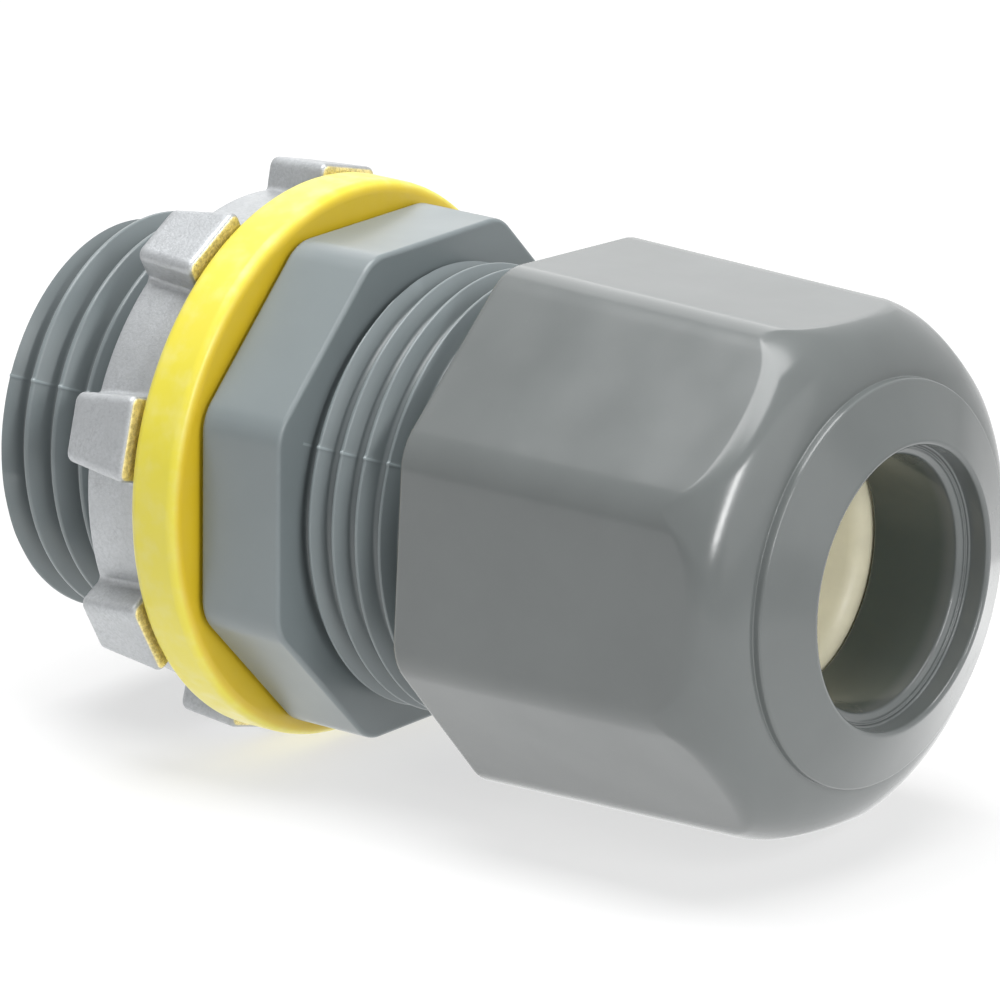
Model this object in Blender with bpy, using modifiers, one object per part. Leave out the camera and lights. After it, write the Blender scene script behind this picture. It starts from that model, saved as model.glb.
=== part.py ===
"""Strain relief cord connector for a half-inch knockout, lying along X with the cord end at +X.

A hollow threaded gland body with an octagonal flange carries, towards the box, a sealing ring and a cast
locknut with eight lugs, and towards the cord a soft sealing grommet under an octagonal compression nut.
Everything is turned about the X axis. Lengths are metres and +Z is up. The origin is on the axis, halfway
between the two ends.
"""

import math
from typing import NamedTuple

import bmesh
import bpy
from mathutils import Matrix


class Thread(NamedTuple):
    """A thread with straight flanks: its pitch and the widths of the flats on its crest and in its root."""

    pitch: float
    crest_width: float
    root_width: float

    @property
    def depth(self):
        """Radial distance from crest to root."""
        return (self.pitch - self.crest_width - self.root_width) / 2 / math.tan(FLANK_ANGLE)


FLANK_ANGLE = math.radians(30)

# Clearances: between faces that touch, around the grommet, and radially in the threads
FACE_GAP = 0.0003
GROMMET_GAP = 0.0003
THREAD_GAP = 0.0003

# Passage through the body, its ledge and taper where the grommet seats, and its mouth
BORE_RADIUS = 0.0072
SEAT_LEDGE = 0.0007
SEAT_TAPER_LENGTH = 0.0025
SEAT_TAPER_HEIGHT = 0.0010
MOUTH_CHAMFER = 0.0004

# Box end: a half-inch pipe-size nipple with fourteen threads to the inch
BOX_THREAD = Thread(pitch=0.0254 / 14, crest_width=0.0002, root_width=0.00028)
BOX_CREST_RADIUS = 0.01055
BOX_FIRST_CREST = 0.00125
NIPPLE_LENGTH = 0.0160
NIPPLE_LEAD_LENGTH = 0.0010
NIPPLE_LEAD_DEPTH = 0.00123

# Cord end: a barrel with a finer thread for the compression nut
CORD_THREAD = Thread(pitch=0.00147, crest_width=0.00014, root_width=0.00035)
CORD_FIRST_CREST = 0.00133
BARREL_LENGTH = 0.0150
BARREL_WALL = 0.00175
BARREL_LEAD_LENGTH = 0.0008
BARREL_LEAD_DEPTH = 0.0008

# Where a thread meets the flange it runs out into a plain neck
BOX_NECK_LENGTH = 0.0006
CORD_NECK_LENGTH = 0.0002
NECK_UNDERCUT = 0.0001

# Wrench flange between the two threads
FLANGE_REACH = 0.001225
FLANGE_THICKNESS = 0.0050
FLANGE_CORNER_RADIUS = 0.0023
FLANGE_EDGE_RADIUS = 0.00025

# Compression nut
NUT_STANDOFF = 0.0078
NUT_WALL = 0.00151
NUT_DRAFT = math.radians(1.3)
NUT_CORNER_RADIUS = 0.0030
NUT_BACK_CHAMFER = 0.00025
NUT_TURN = math.radians(-2.9)
NUT_MOUTH_FLARE = 0.0005
RIDGE_TRIM = 0.00006
RELIEF_LENGTH = 0.0014
RELIEF_DEPTH = 0.0001
POCKET_TAPER_LENGTH = 0.0015
POCKET_LENGTH = 0.0015

# Domed front of the nut, with a raised conical face around the cord entry
DOME_START = 0.01538
DOME_RADIUS = 0.0043
DOME_EDGE_RADIUS = 0.0019
FACE_WIDTH = 0.00312
FACE_STEP = 0.00043
FACE_EDGE = 0.0001
FACE_SLOPE = math.radians(23.4)
ENTRY_STEP = 0.0007
ENTRY_DEPTH = 0.00125
SHOULDER_WIDTH = 0.00243
THROAT_EDGE = 0.00025
THROAT_LENGTH = 0.0051

# Sealing grommet, held in the barrel and the nut
GROMMET_LENGTH = 0.0133
GROMMET_BORE_RADIUS = 0.0042
GROMMET_LIP_WIDTH = 0.0025
GROMMET_FUNNEL_DEPTH = 0.0045
GROMMET_EDGE_RADIUS = 0.0004
TIGHTEN_TRAVEL = 0.0041

# Sealing ring between flange and locknut
SEAL_WIDTH = 0.0036
SEAL_THICKNESS = 0.0030
SEAL_FRONT_EDGE = 0.0006
SEAL_BACK_EDGE = 0.0005

# Cast locknut, with lugs that stand out past the sealing ring
LOCKNUT_THICKNESS = 0.0039
LOCKNUT_WALL = 0.00225
LOCKNUT_DRAFT = math.radians(3.5)
LOCKNUT_EDGE_RADIUS = 0.0003
LOCKNUT_TURN = math.radians(30.5)
LUG_COUNT = 8
LUG_REACH = 0.00025
LUG_WIDTH = 0.0045
LUG_SIDE_DRAFT = math.radians(7)
LUG_PROUD = 0.0001
LUG_EDGE_RADIUS = 0.0004

# Facets, the distance within which points are one, and for cutting tools their overshoot and a turn that
# keeps their facets' edges off those of the piece
OCTAGON_SIDES = 8
ROUND_STEPS = 48
THREAD_STEPS = 32
TAP_STEPS = 24
FLAT_STEPS = 4
CORNER_STEPS = 4
ARC_STEPS = 3
DOME_STEPS = 8
WELD_DISTANCE = 0.000002
CUT_MARGIN = 0.0010
TOOL_TURN = math.radians(1.3)

# Radii, built outwards from the bore
SEAT_RADIUS = BORE_RADIUS + SEAT_LEDGE
GROMMET_TIP_RADIUS = SEAT_RADIUS - GROMMET_GAP
GROMMET_RADIUS = GROMMET_TIP_RADIUS + SEAT_TAPER_HEIGHT
POCKET_RADIUS = GROMMET_RADIUS + GROMMET_GAP
CORD_CREST_RADIUS = POCKET_RADIUS + BARREL_WALL + CORD_THREAD.depth
FLANGE_APOTHEM = max(BOX_CREST_RADIUS, CORD_CREST_RADIUS) + FLANGE_REACH
CORD_TAP_RADIUS = CORD_CREST_RADIUS + THREAD_GAP
RELIEF_RADIUS = CORD_TAP_RADIUS + RELIEF_DEPTH
NUT_APOTHEM = CORD_TAP_RADIUS + NUT_WALL
THROAT_RADIUS = POCKET_RADIUS - SHOULDER_WIDTH
ENTRY_RADIUS = THROAT_RADIUS + ENTRY_STEP
FACE_RADIUS = ENTRY_RADIUS + FACE_WIDTH
BOX_TAP_RADIUS = BOX_CREST_RADIUS + THREAD_GAP
SEAL_RADIUS = BOX_TAP_RADIUS + SEAL_WIDTH
LOCKNUT_RADIUS = BOX_TAP_RADIUS + LOCKNUT_WALL
LUG_RADIUS = SEAL_RADIUS + LUG_REACH

# Places along the body's own axis, measured from the front face of the flange
FLANGE_BACK = -FLANGE_THICKNESS
NIPPLE_END = FLANGE_BACK - NIPPLE_LENGTH
BOX_CREST_PLACE = NIPPLE_END + BOX_FIRST_CREST
SEAL_FRONT = FLANGE_BACK - FACE_GAP
SEAL_BACK = SEAL_FRONT - SEAL_THICKNESS
LOCKNUT_FRONT = SEAL_BACK - FACE_GAP
LOCKNUT_BACK = LOCKNUT_FRONT - LOCKNUT_THICKNESS

# The dome's arc starts where it touches the nut's corners and ends at the raised face's radius
DOME_START_APOTHEM = NUT_APOTHEM - DOME_START * math.tan(NUT_DRAFT)
HALF_SECTOR = math.pi / OCTAGON_SIDES
DOME_LARGEST_RADIUS = NUT_CORNER_RADIUS + (DOME_START_APOTHEM - NUT_CORNER_RADIUS) / math.cos(HALF_SECTOR)
DOME_CENTRE_RADIUS = DOME_LARGEST_RADIUS - DOME_RADIUS
DOME_ANGLE = math.acos((FACE_RADIUS - DOME_CENTRE_RADIUS) / DOME_RADIUS)

# Places along the nut's own axis, measured from its back face
FACE_START = DOME_START + DOME_RADIUS * math.sin(DOME_ANGLE) + FACE_STEP
NUT_LENGTH = FACE_START + FACE_WIDTH * math.tan(FACE_SLOPE)
ENTRY_END = NUT_LENGTH - ENTRY_DEPTH
THROAT_FRONT = ENTRY_END - THROAT_EDGE
SHOULDER = THROAT_FRONT - THROAT_LENGTH
POCKET_START = SHOULDER - POCKET_LENGTH
RELIEF_END = POCKET_START - POCKET_TAPER_LENGTH
RELIEF_START = RELIEF_END - RELIEF_LENGTH

# The grommet lies between the nut's shoulder and its seat in the barrel
GROMMET_FRONT = NUT_STANDOFF + SHOULDER - FACE_GAP
GROMMET_BACK = GROMMET_FRONT - GROMMET_LENGTH
SEAT_END = GROMMET_BACK - TIGHTEN_TRAVEL - FACE_GAP

OVERALL_LENGTH = NUT_STANDOFF + NUT_LENGTH - NIPPLE_END
FLANGE_FRONT_X = OVERALL_LENGTH / 2 - NUT_STANDOFF - NUT_LENGTH


def clear_scene():
    """Removes whatever the file opened with."""
    for obj in list(bpy.data.objects):
        bpy.data.objects.remove(obj)


def make_collection(name):
    """A collection of its own in the scene."""
    collection = bpy.data.collections.new(name)
    bpy.context.scene.collection.children.link(collection)
    return collection


def make_material(name, colour, roughness, metallic=0.0):
    """A plain Principled material."""
    material = bpy.data.materials.new(name)
    material.use_nodes = True
    shader = material.node_tree.nodes["Principled BSDF"]
    shader.inputs["Base Color"].default_value = (*colour, 1.0)
    shader.inputs["Roughness"].default_value = roughness
    shader.inputs["Metallic"].default_value = metallic
    return material


def place(mesh, collection, along=0.0, turn=0.0):
    """Lays a mesh built about Z along the connector's axis, moved from the flange and turned about X."""
    obj = bpy.data.objects.new(mesh.name, mesh)
    collection.objects.link(obj)
    shift = Matrix.Translation((FLANGE_FRONT_X + along, 0.0, 0.0))
    obj.matrix_world = shift @ Matrix.Rotation(turn, 4, "X") @ Matrix.Rotation(math.pi / 2, 4, "Y")
    return obj


def place_tool(mesh, collection, along=0.0, turn=0.0):
    """Lays a mesh that only shapes others, and isn't shown itself."""
    obj = place(mesh, collection, along, turn)
    obj.hide_render = True
    obj.display_type = "WIRE"
    return obj


def combine(obj, operation, other):
    """Adds a Boolean modifier that joins, cuts or trims one solid by another."""
    modifier = obj.modifiers.new(f"{operation.lower()} {other.name}", "BOOLEAN")
    modifier.operation = operation
    modifier.object = other
    modifier.solver = "EXACT"


def arc(centre, radius, start, end, steps=ARC_STEPS):
    """Points (radius, height) on an arc; angles are in degrees, and 0 points away from the axis."""
    angles = [math.radians(start + (end - start) * i / steps) for i in range(steps + 1)]
    return [(centre[0] + radius * math.cos(a), centre[1] + radius * math.sin(a)) for a in angles]


def outline_mesh(name, points, closed):
    """A wire through (radius, height) points, ready to be turned about Z."""
    count = len(points)
    edges = [(i, i + 1) for i in range(count - 1)]
    if closed:
        edges.append((count - 1, 0))
    mesh = bpy.data.meshes.new(name)
    mesh.from_pydata([(radius, 0.0, height) for radius, height in points], edges, [])
    return mesh


def swept_mesh(outline, steps, rise=0.0, turns=1):
    """The skin that a Screw modifier sweeps from an outline, as plain data, with its seams welded."""
    guide = bpy.data.objects.new(outline.name, outline)
    bpy.context.scene.collection.objects.link(guide)
    screw = guide.modifiers.new("screw", "SCREW")
    screw.axis = "Z"
    screw.steps = screw.render_steps = steps
    screw.screw_offset = rise
    screw.iterations = turns
    graph = bpy.context.evaluated_depsgraph_get()
    mesh = bpy.data.meshes.new_from_object(guide.evaluated_get(graph))
    bpy.data.objects.remove(guide)
    outline.name, mesh.name = f"{outline.name}_outline", outline.name
    bm = bmesh.new()
    bm.from_mesh(mesh)
    bmesh.ops.remove_doubles(bm, verts=bm.verts, dist=WELD_DISTANCE)
    bmesh.ops.dissolve_degenerate(bm, edges=bm.edges, dist=WELD_DISTANCE)
    bmesh.ops.recalc_face_normals(bm, faces=bm.faces)
    bm.to_mesh(mesh)
    bm.free()
    return mesh


def turned_mesh(name, profile, steps=ROUND_STEPS):
    """A solid turned about Z from a closed profile that runs down its outer side."""
    return swept_mesh(outline_mesh(name, profile, closed=True), steps)


def on_plane(edge, height):
    """Whether both ends of an edge lie at a height."""
    return all(abs(vertex.co.z - height) < WELD_DISTANCE for vertex in edge.verts)


def threaded_bar_mesh(name, thread, crest_radius, crest_place, low, high, steps=THREAD_STEPS):
    """A closed bar with a right-hand thread on it, cut square at two heights.

    One pitch of the thread's outline climbs the axis and its neighbouring turns are welded. The ragged ends
    are cut off and capped. A crest passes the angle zero at the height crest_place.
    """
    root_radius = crest_radius - thread.depth
    half_crest = thread.crest_width / 2
    root_start = half_crest + thread.depth * math.tan(FLANK_ANGLE)
    section = [
        (crest_radius, -half_crest),
        (crest_radius, half_crest),
        (root_radius, root_start),
        (root_radius, root_start + thread.root_width),
        (crest_radius, thread.pitch - half_crest),
    ]
    turns_below = math.ceil((crest_place - low) / thread.pitch) + 2
    turns_above = math.ceil((high - crest_place) / thread.pitch) + 1
    bottom = crest_place - turns_below * thread.pitch
    outline = outline_mesh(name, [(radius, bottom + height) for radius, height in section], closed=False)
    mesh = swept_mesh(outline, steps, rise=thread.pitch, turns=turns_below + turns_above)

    bm = bmesh.new()
    bm.from_mesh(mesh)
    for height, outward in ((low, (0, 0, -1)), (high, (0, 0, 1))):
        bmesh.ops.bisect_plane(
            bm,
            geom=[*bm.verts, *bm.edges, *bm.faces],
            dist=WELD_DISTANCE,
            plane_co=(0, 0, height),
            plane_no=outward,
            clear_outer=True,
        )
        bmesh.ops.remove_doubles(bm, verts=bm.verts, dist=WELD_DISTANCE)
        rim = [edge for edge in bm.edges if edge.is_boundary and on_plane(edge, height)]
        bmesh.ops.holes_fill(bm, edges=rim, sides=0)
    bmesh.ops.recalc_face_normals(bm, faces=bm.faces)
    bm.to_mesh(mesh)
    bm.free()
    return mesh


def flange_mesh(name):
    """An octagonal prism with rounded corners and a fine rounding around both faces."""
    circumradius = FLANGE_APOTHEM / math.cos(math.pi / OCTAGON_SIDES)
    middle = Matrix.Translation((0, 0, FLANGE_BACK / 2))
    bm = bmesh.new()
    bmesh.ops.create_cone(
        bm,
        cap_ends=True,
        segments=OCTAGON_SIDES,
        radius1=circumradius,
        radius2=circumradius,
        depth=FLANGE_THICKNESS,
        matrix=middle @ Matrix.Rotation(math.pi / OCTAGON_SIDES, 4, "Z"),
    )
    corner_offset = FLANGE_CORNER_RADIUS * math.tan(math.pi / OCTAGON_SIDES)
    uprights = [e for e in bm.edges if not on_plane(e, FLANGE_BACK) and not on_plane(e, 0.0)]
    bmesh.ops.bevel(
        bm, geom=uprights, offset=corner_offset, segments=CORNER_STEPS, profile=0.5, affect="EDGES"
    )
    rims = [e for e in bm.edges if on_plane(e, FLANGE_BACK) or on_plane(e, 0.0)]
    bmesh.ops.bevel(bm, geom=rims, offset=FLANGE_EDGE_RADIUS, segments=2, profile=0.5, affect="EDGES")
    mesh = bpy.data.meshes.new(name)
    bm.to_mesh(mesh)
    bm.free()
    return mesh


def nipple_envelope_mesh():
    """The limits of the box-end thread: its lead-in cone at the tip and its plain neck at the flange."""
    outer = BOX_CREST_RADIUS + CUT_MARGIN
    neck = BOX_CREST_RADIUS - BOX_THREAD.depth - NECK_UNDERCUT
    neck_start = FLANGE_BACK - BOX_NECK_LENGTH
    tip = BOX_CREST_RADIUS - NIPPLE_LEAD_DEPTH
    cone_end = NIPPLE_END + (outer - tip) * NIPPLE_LEAD_LENGTH / NIPPLE_LEAD_DEPTH
    profile = [
        (0.0, FLANGE_BACK + FLANGE_THICKNESS / 4),
        (neck, FLANGE_BACK + FLANGE_THICKNESS / 4),
        (neck, neck_start),
        (outer, neck_start - (outer - neck) * math.tan(FLANK_ANGLE)),
        (outer, cone_end),
        (tip, NIPPLE_END),
        (0.0, NIPPLE_END),
    ]
    return turned_mesh("nipple_envelope", profile, steps=THREAD_STEPS)


def barrel_envelope_mesh():
    """The limits of the cord-end thread: its plain neck at the flange and its lead-in at the mouth."""
    outer = CORD_CREST_RADIUS + CUT_MARGIN
    neck = CORD_CREST_RADIUS - CORD_THREAD.depth - NECK_UNDERCUT
    tip = CORD_CREST_RADIUS - BARREL_LEAD_DEPTH
    cone_start = BARREL_LENGTH - (outer - tip) * BARREL_LEAD_LENGTH / BARREL_LEAD_DEPTH
    profile = [
        (0.0, BARREL_LENGTH),
        (tip, BARREL_LENGTH),
        (outer, cone_start),
        (outer, CORD_NECK_LENGTH + (outer - neck) * math.tan(FLANK_ANGLE)),
        (neck, CORD_NECK_LENGTH),
        (neck, -FLANGE_THICKNESS / 4),
        (0.0, -FLANGE_THICKNESS / 4),
    ]
    return turned_mesh("barrel_envelope", profile, steps=THREAD_STEPS)


def body_bore_mesh():
    """The passage through the body: a plain bore, the grommet's tapered seat and its pocket."""
    mouth = POCKET_RADIUS + MOUTH_CHAMFER
    profile = [
        (mouth, BARREL_LENGTH + CUT_MARGIN),
        (mouth, BARREL_LENGTH),
        (POCKET_RADIUS, BARREL_LENGTH - MOUTH_CHAMFER),
        (POCKET_RADIUS, SEAT_END + SEAT_TAPER_LENGTH),
        (SEAT_RADIUS, SEAT_END),
        (BORE_RADIUS, SEAT_END),
        (BORE_RADIUS, NIPPLE_END - CUT_MARGIN),
        (0.0, NIPPLE_END - CUT_MARGIN),
        (0.0, BARREL_LENGTH + CUT_MARGIN),
    ]
    return turned_mesh("body_bore", profile)


def build_body(collection, tools, material):
    """The gland body: flange, threaded nipple and threaded barrel in one piece, bored through."""
    body = place(flange_mesh("gland_body"), collection)
    body.data.materials.append(material)

    sunk = FLANGE_THICKNESS / 2
    nipple_bar = threaded_bar_mesh(
        "nipple", BOX_THREAD, BOX_CREST_RADIUS, BOX_CREST_PLACE, NIPPLE_END - CUT_MARGIN, FLANGE_BACK + sunk
    )
    nipple = place_tool(nipple_bar, tools)
    combine(nipple, "INTERSECT", place_tool(nipple_envelope_mesh(), tools, turn=TOOL_TURN))

    barrel_bar = threaded_bar_mesh(
        "barrel", CORD_THREAD, CORD_CREST_RADIUS, CORD_FIRST_CREST, -sunk, BARREL_LENGTH + CUT_MARGIN
    )
    barrel = place_tool(barrel_bar, tools)
    combine(barrel, "INTERSECT", place_tool(barrel_envelope_mesh(), tools, turn=TOOL_TURN))

    combine(body, "UNION", nipple)
    combine(body, "UNION", barrel)
    combine(body, "DIFFERENCE", place_tool(body_bore_mesh(), tools, turn=TOOL_TURN))


def lofted_mesh(name, rings):
    """A closed solid through rings of equally many points, flat at its first and last ring."""
    count = len(rings[0])
    bm = bmesh.new()
    loops = [[bm.verts.new(point) for point in ring] for ring in rings]
    for lower, upper in zip(loops, loops[1:]):
        for i in range(count):
            j = (i + 1) % count
            bm.faces.new((lower[i], lower[j], upper[j], upper[i]))
    bm.faces.new(loops[0])
    bm.faces.new(loops[-1])
    bmesh.ops.recalc_face_normals(bm, faces=bm.faces)
    mesh = bpy.data.meshes.new(name)
    bm.to_mesh(mesh)
    bm.free()
    return mesh


def octagon_radius(angle, apothem):
    """Distance from the axis to the nut's rounded octagon, at an angle from the middle of a flat."""
    sector = 2 * math.pi / OCTAGON_SIDES
    from_flat = abs((angle + sector / 2) % sector - sector / 2)
    corner_centre = (apothem - NUT_CORNER_RADIUS) / math.cos(sector / 2)
    tangent = math.atan2(corner_centre * math.sin(sector / 2), apothem)
    if from_flat <= tangent:
        return apothem / math.cos(from_flat)
    off_corner = sector / 2 - from_flat
    sideways = corner_centre * math.sin(off_corner)
    return corner_centre * math.cos(off_corner) + math.sqrt(NUT_CORNER_RADIUS**2 - sideways**2)


def nut_angles():
    """Angles of the nut's facets: a few across each flat and a few around each corner."""
    sector = 2 * math.pi / OCTAGON_SIDES
    half_flat = math.atan2((NUT_APOTHEM - NUT_CORNER_RADIUS) * math.tan(sector / 2), NUT_APOTHEM)
    corner = sector - 2 * half_flat
    across = [half_flat * (2 * i / FLAT_STEPS - 1) for i in range(FLAT_STEPS)]
    around = [half_flat + corner * i / CORNER_STEPS for i in range(CORNER_STEPS)]
    return [side * sector + angle for side in range(OCTAGON_SIDES) for angle in across + around]


def front_edge(angle):
    """Centre (radius, height) of the arc that rounds the nut's front edge, at an angle from a flat's middle.

    The arc touches the drafted side and, from within, the dome.
    """
    reach = DOME_RADIUS - DOME_EDGE_RADIUS
    height = DOME_START
    for _ in range(3):
        side = octagon_radius(angle, NUT_APOTHEM - height * math.tan(NUT_DRAFT))
        radius = min(side, DOME_LARGEST_RADIUS) - DOME_EDGE_RADIUS
        height = DOME_START + math.sqrt(max(reach**2 - (radius - DOME_CENTRE_RADIUS) ** 2, 0.0))
    return radius, height


def front_point(angle, facing):
    """Radius and height of the nut's rounded front where its surface faces a given angle off the axis."""
    radius, height = front_edge(angle)
    bend = DOME_EDGE_RADIUS
    if facing < math.atan2(radius - DOME_CENTRE_RADIUS, height - DOME_START):
        radius, height, bend = DOME_CENTRE_RADIUS, DOME_START, DOME_RADIUS
    return radius + bend * math.sin(facing), height + bend * math.cos(facing)


def nut_blank_mesh():
    """The nut's outside: a drafted octagon, its edge rounded into the dome, then the raised face's cone."""
    angles = nut_angles()
    slope = math.tan(FACE_SLOPE)
    cone_top = ENTRY_RADIUS - FACE_EDGE
    facings = [math.pi / 2 - DOME_ANGLE * i / DOME_STEPS for i in range(DOME_STEPS + 1)]

    def ring(points):
        return [(radius * math.cos(a), radius * math.sin(a), height) for a, (radius, height) in points]

    def round_ring(radius, height):
        return ring([(a, (radius, height)) for a in angles])

    def skirt_ring(height, shrink=0.0):
        apothem = NUT_APOTHEM - height * math.tan(NUT_DRAFT)
        return ring([(a, (octagon_radius(a, apothem) - shrink, height)) for a in angles])

    rings = [skirt_ring(0.0, shrink=NUT_BACK_CHAMFER), skirt_ring(NUT_BACK_CHAMFER), skirt_ring(DOME_START / 2)]
    rings += [ring([(a, front_point(a, facing)) for a in angles]) for facing in facings]
    rings.append(round_ring(FACE_RADIUS, FACE_START - FACE_EDGE))
    rings.append(round_ring(FACE_RADIUS - FACE_EDGE, FACE_START + FACE_EDGE * slope))
    rings.append(round_ring(cone_top, FACE_START + (FACE_RADIUS - cone_top) * slope))
    return lofted_mesh("compression_nut", rings)


def nut_bore_mesh():
    """What the nut is hollowed by: thread minor bore, relief, grommet pocket, throat and stepped entry."""
    ridge = CORD_TAP_RADIUS - CORD_THREAD.depth + RIDGE_TRIM
    flare = RELIEF_RADIUS + NUT_MOUTH_FLARE
    profile = [
        (ENTRY_RADIUS, NUT_LENGTH + CUT_MARGIN),
        (ENTRY_RADIUS, ENTRY_END),
        (THROAT_RADIUS, THROAT_FRONT),
        (THROAT_RADIUS, SHOULDER),
        (POCKET_RADIUS, SHOULDER),
        (POCKET_RADIUS, POCKET_START),
        (RELIEF_RADIUS, RELIEF_END),
        (RELIEF_RADIUS, RELIEF_START),
        (ridge, RELIEF_START - (RELIEF_RADIUS - ridge)),
        (ridge, flare - ridge),
        (flare, 0.0),
        (flare, -CUT_MARGIN),
        (0.0, -CUT_MARGIN),
        (0.0, NUT_LENGTH + CUT_MARGIN),
    ]
    return turned_mesh("nut_bore", profile)


def build_nut(collection, tools, material):
    """The compression nut, tapped to the thread of the barrel that it sits on."""
    nut = place(nut_blank_mesh(), collection, along=NUT_STANDOFF, turn=NUT_TURN)
    nut.data.materials.append(material)
    tap_mesh = threaded_bar_mesh(
        "nut_tap",
        CORD_THREAD,
        CORD_TAP_RADIUS,
        CORD_FIRST_CREST,
        NUT_STANDOFF - CUT_MARGIN,
        NUT_STANDOFF + (RELIEF_START + RELIEF_END) / 2,
        steps=TAP_STEPS,
    )
    combine(nut, "DIFFERENCE", place_tool(nut_bore_mesh(), tools, NUT_STANDOFF, NUT_TURN + TOOL_TURN))
    combine(nut, "DIFFERENCE", place_tool(tap_mesh, tools))


def build_grommet(collection, material):
    """The soft grommet: a sleeve with a funnelled mouth for the cord and a tapered tip for its seat."""
    edge = GROMMET_EDGE_RADIUS
    profile = [
        (GROMMET_RADIUS - GROMMET_LIP_WIDTH, GROMMET_LENGTH),
        *arc((GROMMET_RADIUS - edge, GROMMET_LENGTH - edge), edge, 90, 0),
        (GROMMET_RADIUS, SEAT_TAPER_LENGTH),
        (GROMMET_TIP_RADIUS, 0.0),
        (GROMMET_BORE_RADIUS + edge, 0.0),
        (GROMMET_BORE_RADIUS, edge),
        (GROMMET_BORE_RADIUS, GROMMET_LENGTH - GROMMET_FUNNEL_DEPTH),
    ]
    grommet = place(turned_mesh("sealing_grommet", profile), collection, along=GROMMET_BACK)
    grommet.data.materials.append(material)


def build_seal(collection, material):
    """The sealing ring that lies against the back of the flange."""
    front, back = SEAL_FRONT_EDGE, SEAL_BACK_EDGE
    profile = [
        *arc((SEAL_RADIUS - front, SEAL_THICKNESS - front), front, 90, 0),
        *arc((SEAL_RADIUS - back, back), back, 0, -90),
        (BOX_TAP_RADIUS, 0.0),
        (BOX_TAP_RADIUS, SEAL_THICKNESS),
    ]
    seal = place(turned_mesh("sealing_ring", profile), collection, along=SEAL_BACK)
    seal.data.materials.append(material)


def lugs_mesh():
    """All the locknut's lugs: drafted blocks around the ring, each with rounded edges."""
    root = LOCKNUT_RADIUS - LOCKNUT_WALL / 2
    narrowing = 2 * LOCKNUT_THICKNESS * math.tan(LUG_SIDE_DRAFT)
    lowering = LOCKNUT_THICKNESS * math.tan(LOCKNUT_DRAFT)
    bm = bmesh.new()
    for i in range(LUG_COUNT):
        block = bmesh.ops.create_cube(bm, size=1.0)["verts"]
        for vertex in block:
            at_back, is_outer = vertex.co.z < 0, vertex.co.x > 0
            outer = LUG_RADIUS - (lowering if at_back else 0.0)
            width = LUG_WIDTH - (narrowing if at_back else 0.0)
            height = 0.0 if at_back else LOCKNUT_THICKNESS
            vertex.co = (outer if is_outer else root, math.copysign(width / 2, vertex.co.y), height)
        bmesh.ops.transform(bm, matrix=Matrix.Rotation(2 * math.pi * i / LUG_COUNT, 4, "Z"), verts=block)
    bmesh.ops.bevel(bm, geom=bm.edges, offset=LUG_EDGE_RADIUS, segments=2, profile=0.5, affect="EDGES")
    mesh = bpy.data.meshes.new("locknut_lugs")
    bm.to_mesh(mesh)
    bm.free()
    return mesh


def build_locknut(collection, tools, material):
    """The cast locknut: a drafted ring with lugs, tapped to the nipple's thread."""
    edge = LOCKNUT_EDGE_RADIUS
    low, high = LUG_PROUD, LOCKNUT_THICKNESS - LUG_PROUD
    back_radius = LOCKNUT_RADIUS - LOCKNUT_THICKNESS * math.tan(LOCKNUT_DRAFT)
    profile = [
        (0.0, high),
        *arc((LOCKNUT_RADIUS - edge, high - edge), edge, 90, 0, steps=2),
        *arc((back_radius - edge, low + edge), edge, 0, -90, steps=2),
        (0.0, low),
    ]
    locknut = place(turned_mesh("locknut", profile), collection, LOCKNUT_BACK, LOCKNUT_TURN)
    locknut.data.materials.append(material)
    tap_mesh = threaded_bar_mesh(
        "locknut_tap",
        BOX_THREAD,
        BOX_TAP_RADIUS,
        BOX_CREST_PLACE,
        LOCKNUT_BACK - CUT_MARGIN,
        LOCKNUT_FRONT + CUT_MARGIN,
        steps=TAP_STEPS,
    )
    combine(locknut, "UNION", place_tool(lugs_mesh(), tools, LOCKNUT_BACK, LOCKNUT_TURN))
    combine(locknut, "DIFFERENCE", place_tool(tap_mesh, tools))


def main():
    """Builds the connector's five pieces in their own collection."""
    clear_scene()
    connector = make_collection("strain_relief_cord_connector")
    tools = make_collection("tools")
    body_plastic = make_material("satin grey plastic", (0.19, 0.21, 0.22), 0.5)
    nut_plastic = make_material("polished grey plastic", (0.17, 0.19, 0.19), 0.25)
    seal_rubber = make_material("yellow sealing rubber", (0.90, 0.75, 0.02), 0.45)
    grommet_rubber = make_material("translucent cream rubber", (0.60, 0.58, 0.44), 0.4)
    cast_zinc = make_material("cast zinc", (0.55, 0.56, 0.58), 0.45, metallic=1.0)
    build_body(connector, tools, body_plastic)
    build_nut(connector, tools, nut_plastic)
    build_grommet(connector, grommet_rubber)
    build_seal(connector, seal_rubber)
    build_locknut(connector, tools, cast_zinc)
    bpy.context.view_layer.update()


main()
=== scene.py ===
import math
from typing import NamedTuple

import bmesh
import bpy
import numpy as np
from mathutils import Euler, Matrix, Vector


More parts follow.
